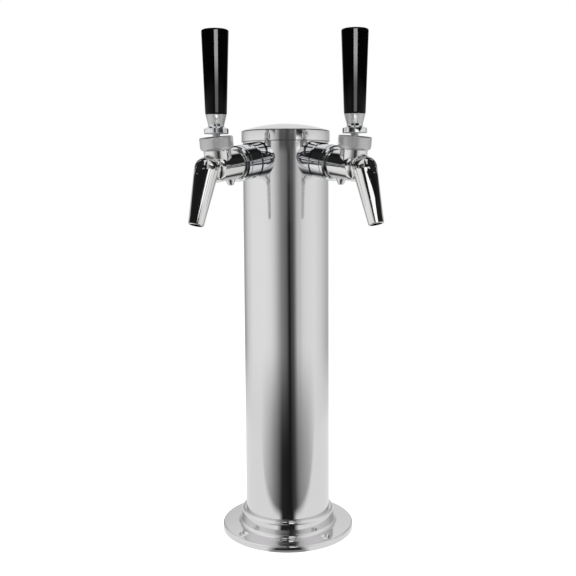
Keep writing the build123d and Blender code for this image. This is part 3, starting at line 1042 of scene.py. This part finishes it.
    def ceiling(self, studio):
        """Ceiling that only reflections see, with the tones of the wall's top."""
        material, tree = new_material("studio_ceiling")
        place = node(tree, "ShaderNodeTexCoord").outputs["Object"]
        turns = studio_direction(tree, place)[0]
        glow = node(
            tree,
            "ShaderNodeEmission",
            inputs={"Color": tone_ramp(tree, turns, TOP_TONES), "Strength": 1.0},
        )
        finish(tree, glow.outputs["Emission"])
        shape = bmesh.new()
        bmesh.ops.create_circle(
            shape, cap_ends=True, segments=WALL_SIDES, radius=studio.wall_radius
        )
        bmesh.ops.translate(shape, verts=shape.verts, vec=(0, 0, studio.wall_height))
        stage_piece("studio_ceiling", shape, material, False)

    def cards(self):
        """Cards that the handles and spouts mirror, and a flag that hides the latter from above."""
        for name, (centre, width, depth, height, low, high) in CARDS.items():
            material, tree = new_material(name)
            place = node(tree, "ShaderNodeTexCoord").outputs["Object"]
            level = node(tree, "ShaderNodeSeparateXYZ", inputs={"Vector": place}).outputs["Z"]
            brightness = node(
                tree,
                "ShaderNodeMapRange",
                inputs={
                    "Value": level,
                    "From Min": centre[2] - CARD_BLUR,
                    "From Max": centre[2] + CARD_BLUR,
                    "To Min": low,
                    "To Max": high,
                },
            ).outputs["Result"]
            glow = node(tree, "ShaderNodeEmission", inputs={"Strength": brightness})
            finish(tree, glow.outputs["Emission"])
            self.card(name, centre, width, depth, height, material)

    def card(self, name, centre, width, depth, height, material):
        """A flat card, upright where it has a height, that only reflections see."""
        shape = bmesh.new()
        half_side = 0.5
        bmesh.ops.create_grid(shape, x_segments=1, y_segments=1, size=half_side)
        bmesh.ops.scale(shape, verts=shape.verts, vec=(width, depth or height, 1))
        if height:
            upright = Matrix.Rotation(pi / 2, 3, "X")
            bmesh.ops.rotate(shape, verts=shape.verts, cent=(0, 0, 0), matrix=upright)
        bmesh.ops.translate(shape, verts=shape.verts, vec=centre)
        stage_piece(name, shape, material, False)

    def cap_flag(self):
        """Flag that keeps the handle card off the cap, with the wall's tones at its foot."""
        material, tree = new_material("cap_flag")
        place = node(tree, "ShaderNodeTexCoord").outputs["Object"]
        split = node(tree, "ShaderNodeSeparateXYZ", inputs={"Vector": place})
        across = node(
            tree,
            "ShaderNodeMapRange",
            inputs={
                "Value": split.outputs["X"],
                "From Min": -FLAG_WIDTH / 2,
                "From Max": FLAG_WIDTH / 2,
            },
        ).outputs["Result"]
        squeezed = node(
            tree, "ShaderNodeMapping", inputs={"Vector": place, "Scale": (FLAG_SQUEEZE, 1.0, 1.0)}
        ).outputs["Vector"]
        turns = studio_direction(tree, squeezed)[0]
        upper = node(
            tree,
            "ShaderNodeMapRange",
            {"interpolation_type": "SMOOTHSTEP"},
            {
                "Value": split.outputs["Z"],
                "From Min": FLAG_BLEND[0],
                "From Max": FLAG_BLEND[1],
            },
        ).outputs["Result"]
        tones = node(
            tree,
            "ShaderNodeMix",
            {"data_type": "RGBA"},
            {
                "Factor": upper,
                "A": tone_ramp(tree, turns, WALL_TONES),
                "B": tone_ramp(tree, across, FLAG_TONES),
            },
        ).outputs["Result"]
        glow = node(tree, "ShaderNodeEmission", inputs={"Color": tones, "Strength": 1.0})
        finish(tree, glow.outputs["Emission"])
        self.card("cap_flag", FLAG_PLACE, FLAG_WIDTH, 0, FLAG_HEIGHT, material)

    def lights(self, scene):
        """Soft boxes at the sides and overhead for the matt surfaces."""
        for name, (place, side, brightness) in SOFT_BOXES.items():
            light = bpy.data.lights.new(name, "AREA")
            light.size = side
            light.energy = brightness * pi * side * side
            lamp = bpy.data.objects.new(name, light)
            scene.collection.objects.link(lamp)
            lamp.location = place
            aim = SOFT_BOX_AIM - Vector(place)
            lamp.rotation_euler = aim.to_track_quat("-Z", "Y").to_euler()
            lamp.visible_camera = False
            lamp.visible_glossy = False

    def world(self, scene):
        """White round about, at a plain level for matt surfaces."""
        world = bpy.data.worlds.new("studio_air")
        scene.world = world
        world.use_nodes = True
        tree = world.node_tree
        tree.nodes.clear()
        rays = node(tree, "ShaderNodeLightPath")
        matt = node(
            tree,
            "ShaderNodeMapRange",
            inputs={"Value": rays.outputs["Is Diffuse Ray"], "To Min": 1.0, "To Max": MATT_AIR},
        ).outputs["Result"]
        air = node(
            tree, "ShaderNodeBackground", inputs={"Color": (1.0, 1.0, 1.0, 1.0), "Strength": matt}
        )
        node(tree, "ShaderNodeOutputWorld", inputs={"Surface": air.outputs["Background"]})

    def camera(self, scene, studio):
        """Camera in front, a little below the faucets, tilted down."""
        data = bpy.data.cameras.new("studio_camera")
        data.sensor_width = SENSOR_MM
        data.lens = studio.focal_px / PICTURE_PX * SENSOR_MM
        data.shift_x, data.shift_y = CAMERA_SHIFT
        data.clip_start = 0.01
        data.clip_end = 100
        camera = bpy.data.objects.new("studio_camera", data)
        scene.collection.objects.link(camera)
        place = Matrix.Translation((0, -studio.camera_distance, studio.camera_height))
        tilt = Matrix.Rotation(pi / 2 - studio.camera_pitch, 4, "X")
        camera.matrix_world = place @ tilt @ Matrix.Rotation(-studio.camera_roll, 4, "Z")
        scene.camera = camera


GROUPS = {
    "tower_metals": TowerMetals,
    "tower_plastics": TowerPlastics,
    "tower_studio": TowerStudio,
}
OPERATORS = (
    TOWER_OT_column,
    TOWER_OT_faucets,
    TOWER_OT_couplings,
    TOWER_OT_bonnets,
    TOWER_OT_shanks,
    TOWER_OT_handles,
    TOWER_OT_seals,
    TOWER_OT_stage,
)


class TOWER_PT_panel(bpy.types.Panel):
    """Settings and pieces of the beer tower"""

    bl_idname = "TOWER_PT_panel"
    bl_label = "Beer Tower"
    bl_space_type = "VIEW_3D"
    bl_region_type = "UI"
    bl_category = "Beer Tower"

    def draw(self, context):
        layout = self.layout
        for settings in GROUPS:
            group = getattr(context.scene, settings)
            box = layout.box()
            for name in group.__annotations__:
                box.prop(group, name)
        for operator in OPERATORS:
            layout.operator(operator.bl_idname)


def register():
    """Registers the settings, the operators and the panel."""
    for group in GROUPS.values():
        bpy.utils.register_class(group)
    for name, group in GROUPS.items():
        setattr(bpy.types.Scene, name, bpy.props.PointerProperty(type=group))
    for operator in OPERATORS:
        bpy.utils.register_class(operator)
    bpy.utils.register_class(TOWER_PT_panel)


def unregister():
    """Takes them off again, in the opposite order."""
    bpy.utils.unregister_class(TOWER_PT_panel)
    for operator in reversed(OPERATORS):
        bpy.utils.unregister_class(operator)
    for name, group in GROUPS.items():
        delattr(bpy.types.Scene, name)
        bpy.utils.unregister_class(group)


def main():
    """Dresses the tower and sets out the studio."""
    register()
    bpy.ops.tower.column()
    bpy.ops.tower.faucets()
    bpy.ops.tower.couplings()
    bpy.ops.tower.bonnets()
    bpy.ops.tower.shanks()
    bpy.ops.tower.handles()
    bpy.ops.tower.seals()
    bpy.ops.tower.stage()


if __name__ == "__main__":
    main()
